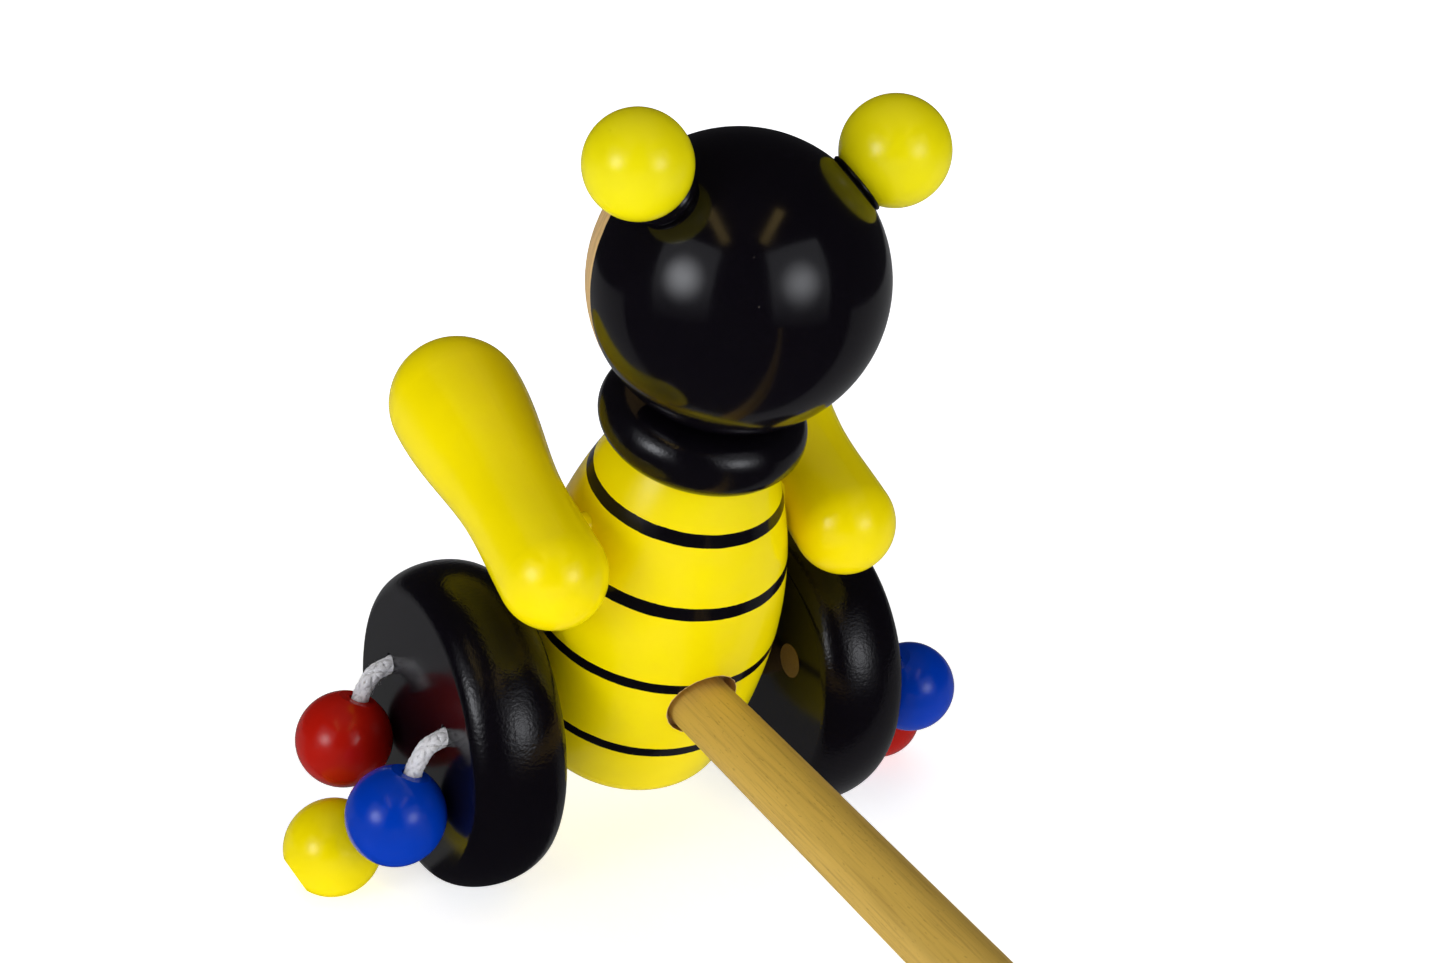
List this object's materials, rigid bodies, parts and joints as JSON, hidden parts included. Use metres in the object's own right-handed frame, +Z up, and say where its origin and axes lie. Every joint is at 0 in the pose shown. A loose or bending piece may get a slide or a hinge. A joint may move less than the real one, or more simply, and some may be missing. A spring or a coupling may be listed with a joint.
{
  "type": "push-along bee toy",
  "caption": "Turned wooden bee on a pair of wheels, with beads hung on cords from the wheels, swinging arms and a long rod in its back to push it along.",
  "frame": {"origin": "the floor, below the middle of the axle", "axes": "+X to the bee's right along the axle, +Y the way the bee is pushed, +Z up, with the toy resting on its wheels and its rod's knob"},
  "size_m": [0.1698, 0.504, 0.1843],
  "materials": {
    "yellow_paint": "satin yellow paint on turned wood",
    "black_paint": "deep gloss black paint on turned wood",
    "red_paint": "gloss red paint on turned wood",
    "blue_paint": "gloss blue paint on turned wood",
    "bare_wood": "bare hardwood dowel",
    "rod_wood": "smooth bare beech, lightly sealed",
    "white_cotton": "soft braided cotton"
  },
  "bodies": {
    "toy": {"body": "yellow_paint", "neck_dowel": "bare_wood", "collar": "black_paint", "head": "black_paint", "antenna_seat_left": "black_paint", "antenna_dowel_left": "bare_wood", "antenna_ball_left": "yellow_paint", "antenna_seat_right": "black_paint", "antenna_dowel_right": "bare_wood", "antenna_ball_right": "yellow_paint", "push_rod": "rod_wood", "rod_knob": "rod_wood"},
    "arms": {"shoulder_dowel": "yellow_paint", "arm_left": "yellow_paint", "arm_right": "yellow_paint"},
    "wheelset": {"axle": "bare_wood", "wheel_left": "black_paint", "cord_plugs_left": "bare_wood", "wheel_right": "black_paint", "cord_plugs_right": "bare_wood"},
    "tassel_left_front": {"cord_left_front": "white_cotton", "bead_left_front": "red_paint"},
    "tassel_left_back": {"cord_left_back": "white_cotton", "bead_left_back": "blue_paint"},
    "tassel_left_low": {"cord_left_low": "white_cotton", "bead_left_low": "yellow_paint"},
    "tassel_right_front": {"cord_right_front": "white_cotton", "bead_right_front": "yellow_paint"},
    "tassel_right_back": {"cord_right_back": "white_cotton", "bead_right_back": "blue_paint"},
    "tassel_right_low": {"cord_right_low": "white_cotton", "bead_right_low": "red_paint"}
  },
  "joints": [
    {"name": "axle_spin", "type": "hinge", "parent": "toy", "child": "wheelset", "pos_m": [0, 0, 0.037], "axis": [1, 0, 0], "continuous": true},
    {"name": "arms_swing", "type": "hinge", "parent": "toy", "child": "arms", "pos_m": [0, -0.01844, 0.08887], "axis": [1, 0, 0], "range_deg": [-20, 8]},
    {"name": "bead_left_front_swing", "type": "hinge", "parent": "wheelset", "child": "tassel_left_front", "pos_m": [-0.055, 0.01456, 0.04758], "axis": [1, 0, 0], "range_deg": [-6, 95]},
    {"name": "bead_left_back_swing", "type": "hinge", "parent": "wheelset", "child": "tassel_left_back", "pos_m": [-0.055, -0.01644, 0.04432], "axis": [1, 0, 0], "range_deg": [-95, 6]},
    {"name": "bead_left_low_swing", "type": "hinge", "parent": "wheelset", "child": "tassel_left_low", "pos_m": [-0.055, 0.00188, 0.0191], "axis": [1, 0, 0], "range_deg": [-8, 8]},
    {"name": "bead_right_front_swing", "type": "hinge", "parent": "wheelset", "child": "tassel_right_front", "pos_m": [0.055, 0.01456, 0.04758], "axis": [1, 0, 0], "range_deg": [-6, 95]},
    {"name": "bead_right_back_swing", "type": "hinge", "parent": "wheelset", "child": "tassel_right_back", "pos_m": [0.055, -0.01644, 0.04432], "axis": [1, 0, 0], "range_deg": [-95, 6]},
    {"name": "bead_right_low_swing", "type": "hinge", "parent": "wheelset", "child": "tassel_right_low", "pos_m": [0.055, 0.00188, 0.0191], "axis": [1, 0, 0], "range_deg": [-8, 8]}
  ]
}
